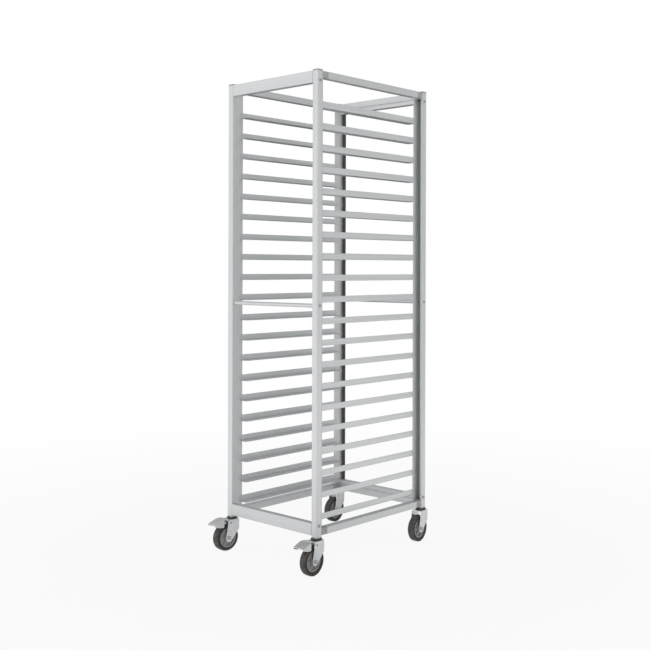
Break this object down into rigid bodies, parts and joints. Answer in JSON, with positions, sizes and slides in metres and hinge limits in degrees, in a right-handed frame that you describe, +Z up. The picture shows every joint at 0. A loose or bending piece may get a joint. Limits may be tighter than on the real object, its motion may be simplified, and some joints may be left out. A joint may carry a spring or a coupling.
{
  "type": "sheet pan rack",
  "caption": "Tall open bakery rack: a bolted aluminium frame with L-shaped runners for sheet pans, on swivel casters with brake pedals at the front.",
  "frame": {"origin": "on the floor, under the middle of the rack's frame", "axes": "+Z up, -Y towards the loading face, +X to the right of the person who loads it"},
  "size_m": [0.4974, 0.7162, 1.747],
  "materials": {
    "upright_aluminium": "satin anodised extrusion",
    "rail_aluminium": "satin anodised extrusion",
    "runner_aluminium": "satin sheet with rolling grain",
    "rivet_aluminium": "satin",
    "screw_steel": "dull zinc",
    "connector_plastic": "fine moulded texture",
    "cap_plastic": "fine moulded texture",
    "stop_plastic": "extruded, slightly worn",
    "swivel_head_steel": "black passivated",
    "ball_steel": "polished",
    "fork_steel": "bright zinc plate",
    "axle_steel": "zinc plate",
    "pedal_steel": "bright zinc plate",
    "wheel_core_plastic": "moulded nylon",
    "tyre_rubber": "grey-brown rubber, scuffed tread"
  },
  "bodies": {
    "frame": {"upright_front_left": "upright_aluminium", "upright_front_right": "upright_aluminium", "upright_rear_left": "upright_aluminium", "upright_rear_right": "upright_aluminium", "front_top_rail": "rail_aluminium", "front_middle_rail": "rail_aluminium", "front_bottom_rail": "rail_aluminium", "rear_top_rail": "rail_aluminium", "rear_middle_rail": "rail_aluminium", "rear_bottom_rail": "rail_aluminium", "side_top_rails": "rail_aluminium", "side_bottom_rails": "rail_aluminium", "corner_connectors": "connector_plastic", "top_caps": "cap_plastic", "caster_plugs": "cap_plastic", "rear_stops": "stop_plastic", "rail_screws": "screw_steel", "runner_rivets": "rivet_aluminium", "runner_pair_01": "runner_aluminium", "runner_pair_02": "runner_aluminium", "runner_pair_03": "runner_aluminium", "runner_pair_04": "runner_aluminium", "runner_pair_05": "runner_aluminium", "runner_pair_06": "runner_aluminium", "runner_pair_07": "runner_aluminium", "runner_pair_08": "runner_aluminium", "runner_pair_09": "runner_aluminium", "runner_pair_10": "runner_aluminium", "runner_pair_11": "runner_aluminium", "runner_pair_12": "runner_aluminium", "runner_pair_13": "runner_aluminium", "runner_pair_14": "runner_aluminium", "runner_pair_15": "runner_aluminium", "runner_pair_16": "runner_aluminium", "runner_pair_17": "runner_aluminium", "runner_pair_18": "runner_aluminium", "runner_pair_19": "runner_aluminium", "runner_pair_20": "runner_aluminium", "swivel_heads": "swivel_head_steel", "swivel_balls": "ball_steel"},
    "swivel_front_left": {"fork_front_left": "fork_steel", "axle_set_front_left": "axle_steel"},
    "wheel_front_left": {"wheel_core_front_left": "wheel_core_plastic", "tyre_front_left": "tyre_rubber"},
    "pedal_front_left": {"brake_pedal_front_left": "pedal_steel"},
    "swivel_front_right": {"fork_front_right": "fork_steel", "axle_set_front_right": "axle_steel"},
    "wheel_front_right": {"wheel_core_front_right": "wheel_core_plastic", "tyre_front_right": "tyre_rubber"},
    "pedal_front_right": {"brake_pedal_front_right": "pedal_steel"},
    "swivel_rear_left": {"fork_rear_left": "fork_steel", "axle_set_rear_left": "axle_steel"},
    "wheel_rear_left": {"wheel_core_rear_left": "wheel_core_plastic", "tyre_rear_left": "tyre_rubber"},
    "swivel_rear_right": {"fork_rear_right": "fork_steel", "axle_set_rear_right": "axle_steel"},
    "wheel_rear_right": {"wheel_core_rear_right": "wheel_core_plastic", "tyre_rear_right": "tyre_rubber"}
  },
  "joints": [
    {"name": "swivel_turn_front_left", "type": "hinge", "parent": "frame", "child": "swivel_front_left", "pos_m": [-0.2175, -0.2975, 0.1178], "axis": [0, 0, 1], "continuous": true},
    {"name": "wheel_roll_front_left", "type": "hinge", "parent": "swivel_front_left", "child": "wheel_front_left", "pos_m": [-0.22043, -0.32535, 0.05], "axis": [0.9945, -0.1045, 0], "continuous": true},
    {"name": "brake_press_front_left", "type": "hinge", "parent": "swivel_front_left", "child": "pedal_front_left", "pos_m": [-0.21959, -0.31739, 0.106], "axis": [0.9945, -0.1045, 0], "range_deg": [0, 10]},
    {"name": "swivel_turn_front_right", "type": "hinge", "parent": "frame", "child": "swivel_front_right", "pos_m": [0.2175, -0.2975, 0.1178], "axis": [0, 0, 1], "continuous": true},
    {"name": "wheel_roll_front_right", "type": "hinge", "parent": "swivel_front_right", "child": "wheel_front_right", "pos_m": [0.21848, -0.32548, 0.05], "axis": [0.9994, 0.0349, 0], "continuous": true},
    {"name": "brake_press_front_right", "type": "hinge", "parent": "swivel_front_right", "child": "pedal_front_right", "pos_m": [0.2182, -0.31749, 0.106], "axis": [0.9994, 0.0349, 0], "range_deg": [0, 10]},
    {"name": "swivel_turn_rear_left", "type": "hinge", "parent": "frame", "child": "swivel_rear_left", "pos_m": [-0.2175, 0.2975, 0.1178], "axis": [0, 0, 1], "continuous": true},
    {"name": "wheel_roll_rear_left", "type": "hinge", "parent": "swivel_rear_left", "child": "wheel_rear_left", "pos_m": [-0.21652, 0.26952, 0.05], "axis": [0.9994, 0.0349, 0], "continuous": true},
    {"name": "swivel_turn_rear_right", "type": "hinge", "parent": "frame", "child": "swivel_rear_right", "pos_m": [0.2175, 0.2975, 0.1178], "axis": [0, 0, 1], "continuous": true},
    {"name": "wheel_roll_rear_right", "type": "hinge", "parent": "swivel_rear_right", "child": "wheel_rear_right", "pos_m": [0.21994, 0.26961, 0.05], "axis": [0.9962, 0.0872, 0], "continuous": true}
  ]
}
